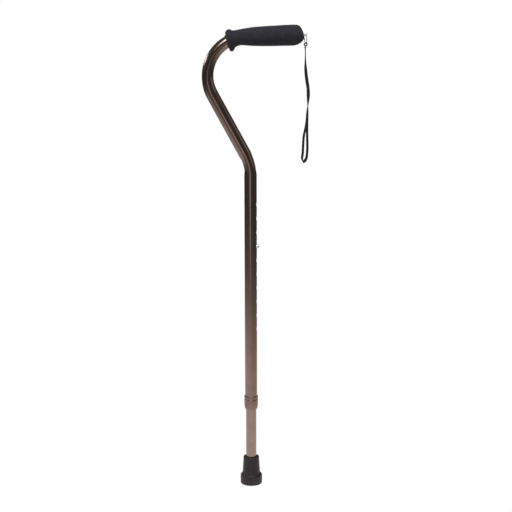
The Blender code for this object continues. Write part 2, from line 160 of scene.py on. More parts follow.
def stretched(tree, place, scale):
    return put(tree, "VectorMath", {0: place, 1: scale}, operation="MULTIPLY").outputs["Vector"]


def noise_of(tree, place, scale, detail=2.0, roughness=0.5):
    inputs = {"Vector": place, "Scale": scale, "Detail": detail, "Roughness": roughness}
    return put(tree, "TexNoise", inputs).outputs["Fac"]


def between(tree, value, low, high, to_low, to_high):
    """Maps a value from one range to another and clamps it."""
    inputs = {"Value": value, "From Min": low, "From Max": high, "To Min": to_low, "To Max": to_high}
    return put(tree, "MapRange", inputs).outputs["Result"]


def times(tree, first, second):
    return put(tree, "Math", {0: first, 1: second}, operation="MULTIPLY").outputs["Value"]


def plus(tree, first, second):
    return put(tree, "Math", {0: first, 1: second}, operation="ADD").outputs["Value"]


def blended(tree, share, first, second):
    """Mixes two colours. Sockets 6 and 7 take the colours of a Mix node, and output 2 gives one."""
    return put(tree, "Mix", {"Factor": share, 6: first, 7: second}, data_type="RGBA").outputs[2]


def mottled(tree, value, first, second, low=0.3, high=0.7):
    """Goes from one colour to the other as a noise value goes from low to high."""
    return blended(tree, between(tree, value, low, high, 0.0, 1.0), first, second)


def scaled(tone, factor):
    """A lighter or darker tone."""
    return tuple(min(1.0, factor * c) for c in tone[:3]) + (1.0,)


def paint(tree, shader, base, rough):
    tree.links.new(base, shader.inputs["Base Color"])
    tree.links.new(rough, shader.inputs["Roughness"])


def raise_surface(tree, shader, height, distance, strength=1.0):
    inputs = {"Height": height, "Distance": distance, "Strength": strength}
    tree.links.new(put(tree, "Bump", inputs).outputs["Normal"], shader.inputs["Normal"])


def anodised(name, tone, worn_tone, roughness):
    """Anodised aluminium tube: fine drawn lines along it, faint blotches and a few pale rubbed lines."""
    material, tree, shader = new_material(name, metallic=1.0)
    place = place_of(tree, "straight")
    blotches = noise_of(tree, place, 38.0, 4.0, 0.6)
    lines = noise_of(tree, stretched(tree, place, (1.0, 1.0, 0.010)), 2600.0, 3.0, 0.6)
    rubs = noise_of(tree, stretched(tree, place, (1.0, 1.0, 0.035)), 520.0, 2.0, 0.4)
    worn_areas = between(tree, blotches, 0.45, 0.62, 0.0, 0.55)
    rubbed = times(tree, between(tree, rubs, 0.70, 0.74, 0.0, 1.0), worn_areas)
    base = mottled(tree, blotches, scaled(tone, 0.82), tone)
    drawn_rough = between(tree, lines, 0.3, 0.7, roughness - 0.035, roughness + 0.035)
    rough = plus(tree, drawn_rough, times(tree, rubbed, 0.15))
    paint(tree, shader, blended(tree, rubbed, base, worn_tone), rough)
    raise_surface(tree, shader, plus(tree, lines, times(tree, rubbed, -0.6)), 0.0000005)
    return material


def turned_metal(name, tone, roughness):
    """The collar's metal: fine rings left by the lathe, with the edges rubbed lighter."""
    material, tree, shader = new_material(name, metallic=1.0)
    place = place_of(tree)
    rings = noise_of(tree, stretched(tree, place, (0.03, 0.03, 1.0)), 5200.0, 2.0, 0.6)
    blotches = noise_of(tree, place, 120.0, 3.0, 0.6)
    base = mottled(tree, blotches, scaled(tone, 0.78), tone)
    edge = between(tree, put(tree, "NewGeometry").outputs["Pointiness"], 0.52, 0.60, 0.0, 0.6)
    rough = between(tree, rings, 0.3, 0.7, roughness - 0.05, roughness + 0.05)
    paint(tree, shader, blended(tree, edge, base, scaled(tone, 1.7)), rough)
    raise_surface(tree, shader, rings, 0.00002)
    return material


def foam_material():
    """Black closed cell foam: a skin of fine pores, painted darker in their hollows as painted shade, over
    faint blotches.
    """
    material, tree, shader = new_material(
        "closed_cell_foam", sheen_weight=0.05, sheen_roughness=0.5, specular_ior_level=0.25,
    )
    place = place_of(tree)
    blotches = noise_of(tree, place, 95.0, 5.0, 0.65)
    grain = noise_of(tree, place, 900.0, 3.0, 0.7)
    cells = put(tree, "TexVoronoi", {"Vector": place, "Scale": 1500.0}).outputs["Distance"]
    pores = between(tree, cells, 0.0, 0.42, 0.0, 1.0)
    base = mottled(tree, blotches, colour(31, 28, 32), colour(44, 40, 45), 0.32, 0.68)
    base = blended(tree, between(tree, grain, 0.35, 0.7, 0.0, 0.35), base, colour(54, 50, 55))
    # The pores' hollows are painted darker: painted shade where the bump sinks in.
    base = blended(tree, between(tree, pores, 0.0, 0.5, 0.55, 0.0), base, colour(10, 9, 11))
    paint(tree, shader, base, between(tree, grain, 0.3, 0.7, 0.78, 0.95))
    raise_surface(tree, shader, plus(tree, pores, times(tree, grain, 0.8)), 0.00016, 0.8)
    return material


def rubber_material():
    """Moulded rubber: a dull skin, and dust in the pores near the floor."""
    material, tree, shader = new_material("moulded_rubber", sheen_weight=0.04, specular_ior_level=0.35)
    place = place_of(tree)
    grain = noise_of(tree, place, 1400.0, 3.0, 0.65)
    blotches = noise_of(tree, place, 130.0, 4.0, 0.6)
    height = put(tree, "SeparateXYZ", {"Vector": place}).outputs["Z"]
    low = between(tree, height, 0.0005, 0.014, 1.0, 0.0)
    dust = times(tree, times(tree, low, between(tree, blotches, 0.42, 0.66, 0.0, 1.0)), 0.45)
    base = mottled(tree, blotches, colour(33, 22, 25), colour(44, 31, 34))
    rough = plus(tree, between(tree, grain, 0.3, 0.7, 0.44, 0.58), times(tree, dust, 0.6))
    paint(tree, shader, blended(tree, dust, base, colour(84, 74, 70)), rough)
    raise_surface(tree, shader, plus(tree, grain, times(tree, blotches, 0.5)), 0.00006, 0.6)
    return material


def webbing_material():
    """Black webbing: the threads' crowns are painted lighter and the gaps between them darker, as painted
    highlight and shade.
    """
    material, tree, shader = new_material(
        "woven_webbing", sheen_weight=0.08, sheen_roughness=0.4, specular_ior_level=0.3,
    )
    relief = put(tree, "Attribute", attribute_name="relief").outputs["Fac"]
    place = place_of(tree, "band")
    fibres = noise_of(tree, stretched(tree, place, (9000.0, 1400.0, 1.0)), 1.0, 3.0, 0.6)
    fuzz = noise_of(tree, place_of(tree), 420.0, 4.0, 0.7)
    # The colour follows the weave's relief: a painted highlight on the crowns and painted shade in the gaps.
    base = mottled(tree, relief, colour(9, 9, 11), colour(30, 30, 33), 0.1, 0.9)
    base = blended(tree, between(tree, fuzz, 0.5, 0.75, 0.0, 0.3), base, colour(56, 56, 60))
    paint(tree, shader, base, between(tree, fibres, 0.3, 0.7, 0.55, 0.8))
    raise_surface(tree, shader, plus(tree, fibres, times(tree, fuzz, 0.5)), 0.00003, 0.7)
    return material


def plated_material(name, tone, roughness):
    """Plated steel wire, with hairline scratches."""
    material, tree, shader = new_material(name, metallic=1.0)
    place = place_of(tree)
    hairs = noise_of(tree, stretched(tree, place, (1.0, 0.2, 0.2)), 5000.0, 3.0, 0.6)
    blotches = noise_of(tree, place, 300.0, 3.0, 0.6)
    base = mottled(tree, blotches, scaled(tone, 0.75), tone, 0.35, 0.65)
    paint(tree, shader, base, between(tree, hairs, 0.3, 0.7, roughness - 0.05, roughness + 0.07))
    raise_surface(tree, shader, hairs, 0.000008)
    return material


def plastic_material(name, low_tone, high_tone, roughness):
    """Moulded plastic with a fine spark-eroded skin."""
    material, tree, shader = new_material(name)
    place = place_of(tree)
    skin = noise_of(tree, place, 3200.0, 3.0, 0.6)
    flow = noise_of(tree, place, 150.0, 3.0, 0.6)
    base = mottled(tree, flow, low_tone, high_tone)
    paint(tree, shader, base, between(tree, skin, 0.3, 0.7, roughness - 0.06, roughness + 0.08))
    raise_surface(tree, shader, skin, 0.00003, 0.6)
    return material


# Shapes

def closed_mesh(name, rings, closed=False, sharp=32.0):
    """A body through rings of points. A ring of one point is a pole, and other open ends are filled."""
    bm = bmesh.new()
    made = [[bm.verts.new(point) for point in ring] for ring in rings]
    pairs = list(zip(made, made[1:]))
    if closed:
        pairs.append((made[-1], made[0]))
    for first, second in pairs:
        count = max(len(first), len(second))
        for i in range(count):
            j = (i + 1) % count
            near = [first[i % len(first)], first[j % len(first)]]
            far = [second[j % len(second)], second[i % len(second)]]
            bm.faces.new(list(dict.fromkeys(near + far)))
    if not closed:
        for ring in (made[0], made[-1]):
            if len(ring) > 1:
                bm.faces.new(ring)
    bmesh.ops.recalc_face_normals(bm, faces=bm.faces)
    if bm.calc_volume(signed=True) < 0:
        bmesh.ops.reverse_faces(bm, faces=bm.faces)
    mesh = bpy.data.meshes.new(name)
    bm.to_mesh(mesh)
    bm.free()
    mesh.shade_smooth()
    mesh.set_sharp_from_angle(angle=math.radians(sharp))
    return mesh


def rounded(corners, steps=4):
    """An outline with its corners rounded. A corner is (x, y) or (x, y, how far the rounding starts)."""
    made = []
    for k, corner in enumerate(corners):
        here = Vector(corner[:2])
        if len(corner) == 2:
            made.append(here)
            continue
        before = here + (Vector(corners[k - 1][:2]) - here).normalized() * corner[2]
        after = here + (Vector(corners[(k + 1) % len(corners)][:2]) - here).normalized() * corner[2]
        for i in range(steps + 1):
            t = i / steps
            made.append(before * (1 - t) ** 2 + here * 2 * t * (1 - t) + after * t**2)
    return made


def full_turn(sides):
    """Evenly spaced angles in radians, all the way round."""
    return [2 * math.pi * i / sides for i in range(sides)]


def circle(radius, height, sides):
    if radius == 0:
        return [Vector((0.0, 0.0, height))]
    return [Vector((radius * math.cos(a), radius * math.sin(a), height)) for a in full_turn(sides)]


def turned(name, profile, sides=FINE, closed=True, sharp=32.0):
    """A body turned about Z from its (radius, height) profile."""
    return closed_mesh(name, [circle(radius, height, sides) for radius, height in profile], closed, sharp)


def smooth(points, steps):
    """Points on a curve through these ones (Catmull-Rom), with this many steps between neighbours."""
    points = [np.array(point, float) for point in points]
    padded = [2 * points[0] - points[1], *points, 2 * points[-1] - points[-2]]
    made = []
    for a, b, c, d in zip(padded, padded[1:], padded[2:], padded[3:]):
        for k in range(steps):
            t = k / steps
            square = (2 * a - 5 * b + 4 * c - d) * t**2
            cube = (3 * b - a - 3 * c + d) * t**3
            made.append(0.5 * (2 * b + (c - a) * t + square + cube))
    return [*made, points[-1]]


def evenly(points, step):
    """Points at even distances, near this step, along a run of points.

    Only the first three numbers of a point are its place.
    """
    points = np.array(points)
    runs = np.concatenate([[0.0], np.cumsum(np.linalg.norm(np.diff(points[:, :3], axis=0), axis=1))])
    targets = np.linspace(0.0, runs[-1], round(runs[-1] / step) + 1)
    return list(np.column_stack([np.interp(targets, runs, column) for column in points.T]))


def store_vectors(mesh, name, vectors):
    """Stores a vector for each point of a mesh, for its material to read."""
    attribute = mesh.attributes.new(name, "FLOAT_VECTOR", "POINT")
    attribute.data.foreach_set("vector", np.array(vectors, np.float32).ravel())


def middle_of(node):
    low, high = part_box(node)
    return (low + high) / 2


def piece(name, mesh, material, body, slot, *nodes):
    """Adds a finished mesh that rides on a body and stands for CAD nodes."""
    obj = bpy.data.objects.new(name, mesh)
    bpy.context.scene.collection.objects.link(obj)
    mesh.materials.append(material)
    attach(obj, body)
    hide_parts(*nodes)
    return obj


def dress(node, material):
    """Gives a CAD node that stays a finished material."""
    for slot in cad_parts[node].material_slots:
        slot.material = material


def drill(name, mesh, heights, radius, start, end, edge=0.00015):
    """Drills round holes along +X through a body, and breaks their edges."""
    bm = bmesh.new()
    for height in heights:
        place = Matrix.Translation(((start + end) / 2, 0, height)) @ Matrix.Rotation(math.pi / 2, 4, "Y")
        bmesh.ops.create_cone(
            bm, cap_ends=True, segments=MEDIUM, radius1=radius, radius2=radius, depth=end - start,
            matrix=place,
        )
    helper_mesh = bpy.data.meshes.new("drill")
    bm.to_mesh(helper_mesh)
    bm.free()
    helper = bpy.data.objects.new("drill", helper_mesh)
    body = bpy.data.objects.new(name, mesh)
    for obj in (helper, body):
        bpy.context.scene.collection.objects.link(obj)
    cut = body.modifiers.new("holes", "BOOLEAN")
    cut.object = helper
    cut.operation = "DIFFERENCE"
    cut.solver = "EXACT"
    graph = bpy.context.evaluated_depsgraph_get()
    cut_mesh = bpy.data.meshes.new_from_object(body.evaluated_get(graph))
    for obj in (helper, body):
        bpy.data.objects.remove(obj)
    break_edges(cut_mesh, heights, radius, edge)
    return cut_mesh


def break_edges(mesh, heights, radius, edge):
    """Bevels the rims of the holes."""
    bm = bmesh.new()
    bm.from_mesh(mesh)
    bm.normal_update()
    rims = []
    for e in bm.edges:
        middle = (e.verts[0].co + e.verts[1].co) / 2
        near = min(abs(math.hypot(middle.y, middle.z - height) - radius) for height in heights)
        if near < radius * 0.01 and len(e.link_faces) == 2 and e.calc_face_angle() > 0.6:
            rims.append(e)
    bmesh.ops.bevel(bm, geom=rims, offset=edge, segments=2, profile=0.5, affect="EDGES")
    bm.to_mesh(mesh)
    bm.free()


def round_normals(mesh, top):
    """Gives the straight part of a tube, below this height, the normals of a true cylinder."""
    normals = [Vector(corner.vector) for corner in mesh.corner_normals]
    for face in mesh.polygons:
        centre = Vector((face.center.x, face.center.y, 0.0)).normalized()
        if abs(face.normal.dot(centre)) < 0.93 or face.center.z > top:
            continue
        side = math.copysign(1.0, face.normal.dot(centre))
        for k in face.loop_indices:
            place = mesh.vertices[mesh.loops[k].vertex_index].co
            if place.z <= top + 1e-5:
                normals[k] = Vector((place.x, place.y, 0.0)).normalized() * side
    mesh.normals_split_custom_set(normals)


# The tube's centreline. A frame is (place, heading in radians from +X, share of full ovalness).

def direction(heading):
    return Vector((math.cos(heading), 0.0, math.sin(heading)))


def tube_frames():
    """Frames from the tube's lower end to the end of its handle."""
    tangent = LOWER_BEND_RADIUS * math.tan(math.radians(LEAN) / 2)
    upper_turn = LEAN + 90 - HANDLE_RISE
    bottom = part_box("upper_tube")[0].z
    # Each leg is its length, its turn in degrees and its number of steps.
    legs = (
        (LOWER_BEND_CORNER - tangent - bottom, 0.0, 1),
        (LOWER_BEND_RADIUS * math.radians(LEAN), LEAN, 28),
        (INCLINE, 0.0, 3),
        (UPPER_BEND_RADIUS * math.radians(upper_turn), -upper_turn, 84),
        (HANDLE_RUN, 0.0, 3),
    )
    place = Vector((0.0, 0.0, bottom))
    heading = math.pi / 2
    frames = [(place, heading, 0.0)]
    for length, turn, steps in legs:
        for k in range(1, steps + 1):
            step = math.radians(turn) / steps
            chord = length / steps * (math.sin(step / 2) / (step / 2) if step else 1.0)
            place = place + chord * direction(heading + step / 2)
            heading += step
            ramp = min(1.0, 4 * k / steps, 4 * (steps - k) / steps) if turn else 0.0
            frames.append((place, heading, ramp * ramp * (3 - 2 * ramp)))
    return frames


FRAMES = tube_frames()


def oval_ring(tube_frame, radius, sides=FINE):
    """The tube's section at a frame, flattened in the plane of the bend."""
    place, heading, oval = tube_frame
    across = direction(heading + math.pi / 2) * radius * (1 - BEND_FLATTENING * oval)
    out = Vector((0.0, radius * (1 + BEND_BULGE * oval), 0.0))
    return [place + across * math.cos(a) + out * math.sin(a) for a in full_turn(sides)]


def handle_frame(distance):
    """A frame on the handle's centreline, at a distance from the middle of the grip's flange."""
    end = FRAMES[-1]
    start = end[0] - HANDLE_RUN * direction(end[1])
    along = distance - GRIP_FLANGE_BACK
    if along >= 0:
        return start + along * direction(end[1]), end[1], 0.0
    step = along / UPPER_BEND_RADIUS
    chord = 2 * UPPER_BEND_RADIUS * math.sin(step / 2)
    return start + chord * direction(end[1] - step / 2), end[1] - step, 0.0


def store_straight(mesh, frames):
    """Stores each point's place as it would be on the tube before it was bent, for the drawn lines."""
    places = np.array([tube_frame[0] for tube_frame in frames])
    headings = np.array([direction(tube_frame[1]) for tube_frame in frames])
    runs = np.concatenate([[0.0], np.cumsum(np.linalg.norm(np.diff(places, axis=0), axis=1))])
    points = np.array([vertex.co for vertex in mesh.vertices])
    sides = np.cross(headings, (0.0, 1.0, 0.0))
    straight = np.zeros_like(points)
    for k, point in enumerate(points):
        away = point - places
        along = np.einsum("ij,ij->i", away, headings)
        i = int(np.argmin(np.abs(along) + 0.2 * np.linalg.norm(away, axis=1)))
        straight[k] = (away[i] @ sides[i], point[1], runs[i] + along[i])
    store_vectors(mesh, "straight", straight)


# Pieces

def make_upper_tube(material):
    edge = 0.0003
    inside = UPPER_RADIUS - UPPER_WALL
    first = FRAMES[0]
    raised = (first[0] + Vector((0.0, 0.0, edge)), *first[1:])
    outer = [oval_ring(first, UPPER_RADIUS - edge), oval_ring(raised, UPPER_RADIUS)]
    outer += [oval_ring(tube_frame, UPPER_RADIUS) for tube_frame in FRAMES[1:]]
    inner = [oval_ring(tube_frame, inside) for tube_frame in reversed(FRAMES[1:])]
    inner += [oval_ring(raised, inside), oval_ring(first, inside + edge)]
    mesh = closed_mesh("bent_tube", outer + inner, closed=True)
    button = middle_of("snap_button").z
    heights = [button + row * HOLE_PITCH for row in range(-HOLES_BELOW, HOLES_ABOVE + 1)]
    mesh = drill("bent_tube", mesh, heights, HOLE_RADIUS, 0.004, 0.016)
    round_normals(mesh, FRAMES[1][0].z)
    store_straight(mesh, FRAMES)
    piece("bent_tube", mesh, material, "handle", "bronze_anodised", "upper_tube")


def make_lower_tube(material):
    low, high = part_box("lower_tube")
    edge, inside = 0.0003, high.x - LOWER_WALL
    profile = rounded((
        (inside, low.z, edge), (high.x, low.z, edge), (high.x, high.z, edge), (inside, high.z, edge),
    ), 2)
    mesh = turned("straight_tube", profile)
    mesh = drill("straight_tube", mesh, [middle_of("snap_button").z], HOLE_RADIUS - 0.0001, 0.004, 0.014)
    round_normals(mesh, high.z - edge)
    store_vectors(mesh, "straight", [vertex.co for vertex in mesh.vertices])
    piece("straight_tube", mesh, material, "leg", "bronze_leg", "lower_tube")


def grip_ring(distance, radius):
    """The grip's section. Towards the free end it slants and is drawn up from below."""
    place, heading, _ = handle_frame(distance)
    rise = math.radians(HANDLE_RISE)
    lean = rise + GRIP_FLANGE_LEAN * (heading - rise)
    to_end = max(0.0, (distance - GRIP_END_FROM) / (GRIP_OUTLINE[-2][0] - GRIP_END_FROM))
    lean += math.radians(GRIP_END_TILT - HANDLE_RISE) * to_end
    up = direction(lean + math.pi / 2)
    ring = []
    for point in oval_ring((place, lean, 0.0), radius):
        hangs = max(0.0, (place - point).dot(up) - GRIP_CUT_BELOW)
        ring.append(point + up * hangs * GRIP_UNDERCUT * to_end**2)
    return ring


def make_grip(material):
    """The foam grip, with the slightly uneven skin of moulded foam."""
    outline = evenly(smooth(GRIP_OUTLINE, 10), 0.00085)
    outer = [grip_ring(float(distance), float(radius)) for distance, radius in outline]
    mouth = GRIP_OUTLINE[-1][1]
    inner = [grip_ring(GRIP_BORE_END, mouth), grip_ring(GRIP_BORE_END, GRIP_BORE)]
    back = GRIP_OUTLINE[0][0]
    for k in range(13):
        distance = GRIP_FLANGE_BACK * (1 - k / 12) + back * k / 12
        inner.append(oval_ring(handle_frame(distance), GRIP_BORE))
    mesh = closed_mesh("grip", outer + inner, closed=True, sharp=70.0)
    outwards = [Vector(vertex.normal) for vertex in mesh.vertices]
    for vertex, outward in zip(mesh.vertices, outwards):
        wave = noise.noise(vertex.co * 60) * 0.00016 + noise.noise(vertex.co * 260) * 0.00006
        vertex.co += outward * (wave + noise.noise(vertex.co * 900) * 0.00003)
    grip = piece("grip", mesh, material, "handle", "grip_foam", "foam_grip")


def band(name, path, widths, closed, width, thickness, weave=0.0011):
    """A woven band along a path. widths gives the direction across the band at each point of the path."""
    half_across = (0.18, 0.36, 0.54, 0.72, 0.88, 0.97, 1.0)
    across = [*(-u for u in reversed(half_across)), 0.0, *half_across]
    outline = [(u, 1) for u in across] + [(u, -1) for u in reversed(across[1:-1])]
    rib_depth = 0.00010
    rings, marks, reliefs, run = [], [], [], 0.0
    for k, place in enumerate(path):
        ahead = path[(k + 1) % len(path)] if closed or k + 1 < len(path) else place
        behind = path[k - 1] if closed or k else place
        tangent = (ahead - behind).normalized()
        side = (widths[k] - tangent * widths[k].dot(tangent)).normalized()
        up = tangent.cross(side)
        if k:
            run += (place - path[k - 1]).length
        ring = []
        for u, face in outline:
            rib = 0.5 + 0.5 * math.sin(2 * math.pi * (run / weave + 1.5 * abs(u) + 0.25 * face))
            full = math.sqrt(max(0.0, 1.0 - abs(u) ** 10))
            height = (thickness / 2 - rib_depth * (1 - rib)) * full * face
            ring.append(place + side * u * width / 2 + up * height)
            marks.append((u * width / 2, run, 0.0))
            reliefs.append(rib * full)
        rings.append(ring)
    mesh = closed_mesh(name, rings, closed, sharp=80.0)
    store_vectors(mesh, "band", marks)
    relief = mesh.attributes.new("relief", "FLOAT", "POINT")
    relief.data.foreach_set("value", np.array(reliefs, np.float32))
    return mesh


def strap_route():
    """The loop's points down one ply and up the other, as (place, direction across the band)."""
    down, up = [], []
    for height, middle, half, turn, roll in (*STRAP_STATIONS, STRAP_BOTTOM):
        turn, roll = math.radians(turn), math.radians(roll)
        spread = Vector((math.cos(turn), math.sin(turn), 0.0)) * half
        level = Vector((-math.sin(turn), math.cos(turn), 0.0))
        across = level * math.cos(roll) - Vector((0.0, 0.0, math.sin(roll)))
        centre = Vector((middle, 0.0, height))
        down.append((*(centre - spread), *across))
        up.append((*(centre + spread), *across))
    return [np.array(point) for point in [*down, *reversed(up[:-1])]]


def make_wrist_strap(material):
    route = strap_route()
    tuck = np.array((0.0, 0.0, 0.0014, 0.0, 0.0, 0.0))
    points = evenly(smooth([route[0] + tuck, *route, route[-1] + tuck], 16), 0.00022)
    path = [Vector(point[:3]) for point in points]
    widths = [Vector(point[3:]) for point in points]
    mesh = band("strap_band", path, widths, False, STRAP_WIDTH, STRAP_THICKNESS)
    strap = piece("strap_band", mesh, material, "strap", "webbing", "wrist_strap")


def ring_axes():
    """The direction of the ring's wire at its bottom, and the direction across the ring."""
    turn = math.radians(RING_TURN)
    along = Vector((math.sin(turn), math.cos(turn), 0.0))
    return along, Vector((along.y, -along.x, 0.0))


def make_strap_eye(material):
    """The thick short loop of folded band that hangs in the ring, just above the crimp."""
    low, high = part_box("strap_eye")
    wall, half, width = 0.0019, 0.0034, 0.0030
    middle = middle_of("split_ring").x
    along, across = ring_axes()
    inner_half = half - wall / 2
    top = high.z - wall / 2
    bottom = low.z + wall / 2
    route = []
    for angle in full_turn(72):
        bend = max(0.0, -math.sin(angle)) ** 2
        x = inner_half * math.cos(angle) * (1 - 0.10 * bend)
        z = (top + bottom) / 2 + (top - bottom) / 2 * math.sin(angle)
        route.append(Vector((middle, 0.0, z)) + across * x)
    mesh = band("strap_loop", route, [along] * len(route), True, width, wall, 0.0010)
    return piece("strap_loop", mesh, material, "strap", "webbing", "strap_eye")


def make_crimp(material):
    """A folded crimp with two pressed grooves."""
    low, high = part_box("strap_crimp")
    centre, size = (low + high) / 2, high - low
    corner = 0.0008
    # (height from the middle, width), each as a share of the whole, for the upper half.
    upper = ((0.06, 0.98), (0.12, 0.90), (0.20, 0.92), (0.26, 1.0), (0.34, 1.0), (0.44, 0.96), (0.5, 0.86))
    lower = [(-level, share) for level, share in reversed(upper)]
    rings = []
    for level, share in (*lower, *upper):
        x, y = size.x / 2 * share, size.y / 2 * share
        outline = rounded(((x, y, corner), (-x, y, corner), (-x, -y, corner), (x, -y, corner)), 5)
        rings.append([centre + Vector((p.x, p.y, level * size.z)) for p in outline])
    mesh = closed_mesh("crimp", rings, sharp=50.0)
    return piece("crimp", mesh, material, "strap", "black_plastic", "strap_crimp")


def wire(name, path, radius, sides=16, taper=3):
    """A round wire along a path, with rounded ends."""
    rings = []
    last = len(path) - 1
    up = Vector((0.0, 1.0, 0.0))
    for k, place in enumerate(path):
        tangent = (path[min(k + 1, last)] - path[max(k - 1, 0)]).normalized()
        up = (up - tangent * up.dot(tangent)).normalized()
        side = tangent.cross(up)
        near = min(k, last - k)
        size = radius * math.sqrt(1 - (1 - (near + 0.4) / (taper + 0.4)) ** 2) if near < taper else radius
        rings.append([place + side * size * math.cos(a) + up * size * math.sin(a) for a in full_turn(sides)])
    return closed_mesh(name, rings, sharp=60.0)


def make_split_ring(material):
    """Two turns of wire side by side, which cross over at the back of the ring."""
    low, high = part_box("split_ring")
    centre = (low + high) / 2
    thick = 0.00037
    radius = (high.z - low.z) / 2 - thick
    along, across = ring_axes()
    path = []
    steps = 190
    for k in range(steps + 1):
        angle = math.radians(95 + 700 * k / steps)
        share = min(1.0, max(0.0, (k / steps - 0.47) / 0.06))
        shift = (share * share * (3 - 2 * share) - 0.5) * 2 * thick
        rise = Vector((0.0, 0.0, radius * math.sin(angle)))
        path.append(centre + along * radius * math.cos(angle) + rise + across * shift)
    piece("key_ring", wire("key_ring", path, thick, 14), material, "ring", "plated_steel", "split_ring")


def threaded_shank(start, back, up):
    """A pointed shank with a screw thread, from its start along the direction back."""
    pitch, depth, length, shank = 0.0011, 0.00016, 0.0185, 0.0009
    steps = 150
    rings = []
    for k in range(steps + 1):
        run = length * k / steps
        here = start + back * run
        point = min(1.0, (steps - k) / 14 + 0.05)
        ring = []
        for a in full_turn(20):
            ridge = depth * (math.cos(2 * math.pi * run / pitch + a) - 1) / 2
            size = (shank + ridge) * point
            ring.append(here + up * size * math.cos(a) + Vector((0.0, size * math.sin(a), 0.0)))
        rings.append(ring)
    return closed_mesh("shank", rings, sharp=60.0)


def make_screw_eye(material):
    """A wire eye whose end stops just short of its threaded shank."""
    _, heading, _ = handle_frame(GRIP_FLANGE_BACK)
    ahead = direction(heading)
    up = direction(heading + math.pi / 2)
    loop, thick = 0.00195, 0.00065
    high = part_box("screw_eye")[1]
    place = handle_frame(GRIP_FLANGE_BACK + HANDLE_RUN)[0]
    centre = place + ahead * ((high.x - loop - thick - place.x) / ahead.x)
    path = [centre - ahead * (loop + 0.0012 - 0.0004 * k) for k in range(2)]
    for k in range(45):
        angle = math.radians(180 - 10 - 325 * k / 44)
        path.append(centre + ahead * loop * math.cos(angle) + up * loop * math.sin(angle))
    eye = wire("eye", path, thick, 18)
    bm = bmesh.new()
    bm.from_mesh(eye)
    bm.from_mesh(threaded_shank(centre - ahead * (loop + 0.0006), -ahead, up))
    bm.to_mesh(eye)
    bm.free()
    piece("wire_eye", eye, material, "handle", "plated_steel", "screw_eye")


COLLAR_BORE = 0.0114


def make_stop_ring(material):
    low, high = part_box("stop_ring")
    profile = rounded((
        (COLLAR_BORE, low.z, 0.0002), (high.x, low.z, 0.0005), (high.x, high.z, 0.0009),
        (COLLAR_BORE, high.z, 0.0002),
    ), 5)
    piece("collar_ring", turned("collar_ring", profile), material, "handle", "collar_bronze", "stop_ring")


def make_lock_nut(material):
    """The nut: a straight band over a round skirt, hollow inside for the clamp ring."""
    low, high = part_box("lock_nut")
    throat = 0.0098
    skirt_top, skirt_edge = 0.1538, 0.0104
    skirt = []
    for k in range(13):
        angle = math.radians(90 * k / 12)
        radius = skirt_edge + (high.x - skirt_edge) * math.cos(angle)
        skirt.append((radius, skirt_top - (skirt_top - low.z) * math.sin(angle)))
    corners = (
        (COLLAR_BORE, high.z, 0.0002), (high.x, high.z, 0.0009), (high.x, skirt_top + 0.0012),
        *skirt, (throat, low.z, 0.0002), (throat, low.z + 0.0012), (0.0109, low.z + 0.002),
        (COLLAR_BORE, low.z + 0.006),
    )
    mesh = turned("collar_nut", rounded(corners, 5))
    piece("collar_nut", mesh, material, "nut", "collar_bronze", "lock_nut")


def make_tip(material):
    """The rubber ferrule: ring treads, a flared foot, a tapering body and a soft rim."""
    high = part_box("rubber_tip")[1]
    foot, height = high.x, high.z
    shoulder, rim = 0.0187, 0.0144
    socket, floor, tread = 0.0098, 0.0058, 0.0015
    corners = [
        (0.0, 0.0), (0.0055, 0.0, 0.0003), (0.0061, tread, 0.0003), (0.0085, tread, 0.0003),
        (0.0091, 0.0, 0.0003), (0.0125, 0.0, 0.0003), (0.0131, tread, 0.0003), (0.0150, tread, 0.0003),
        (0.0156, 0.0, 0.0003), (foot - 0.0003, 0.0, 0.0016), (foot, 0.0030), (foot, shoulder - 0.0044),
        (foot - 0.0004, shoulder - 0.0008, 0.0022), (0.0166, shoulder + 0.0004, 0.0012),
        (0.0162, shoulder + 0.0024), (rim + 0.0001, height - 0.0040), (rim, height, 0.0018),
        (socket + 0.0002, height, 0.0008), (socket, floor, 0.0005), (0.0, floor),
    ]
    mesh = turned("ferrule", rounded(corners, 6), closed=False)
    piece("ferrule", mesh, material, "leg", "tip_rubber", "rubber_tip")


def make_button(material):
    """The snap button: a flange inside the tubes and a stem with a domed end."""
    low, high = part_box("snap_button")
    stem, flange, flange_edge, dome = 0.0035, 0.0044, 0.0006, 0.0013
    back, reach = low.x, high.x
    profile = [
        (0.0, back), (flange, back, 0.0002), (flange, back + flange_edge, 0.0002), (stem, back + flange_edge),
    ]
    for degrees in range(0, 90, 9):
        a = math.radians(degrees)
        profile.append((stem * math.cos(a), reach - dome + dome * math.sin(a)))
    profile.append((0.0, reach))
    mesh = turned("push_button", rounded(profile, 3), MEDIUM, closed=False)
    lift = Matrix.Translation((0.0, 0.0, middle_of("snap_button").z))
    mesh.transform(lift @ Matrix.Rotation(math.pi / 2, 4, "Y"))
    piece("push_button", mesh, material, "button", "plated_steel", "snap_button")


# Camera, lights and floor

def make_camera():
    data = bpy.data.cameras.new("camera")
    data.lens = CAMERA_LENS
    data.sensor_width = 36.0
    data.clip_start = 0.05
    data.clip_end = 100.0
    camera = bpy.data.objects.new("camera", data)
    bpy.context.scene.collection.objects.link(camera)
    tilt = Matrix.Rotation(math.radians(90 - CAMERA_TILT), 4, "X")
    roll = Matrix.Rotation(math.radians(CAMERA_ROLL), 4, "Z")
    camera.matrix_world = Matrix.Translation(CAMERA_PLACE) @ tilt @ roll
    bpy.context.scene.camera = camera


# Some softboxes are a little blue, so that their reflections in bronze come out near white.
COOL = (0.88, 0.99, 1.08)
NEUTRAL = (1.0, 1.0, 1.0)

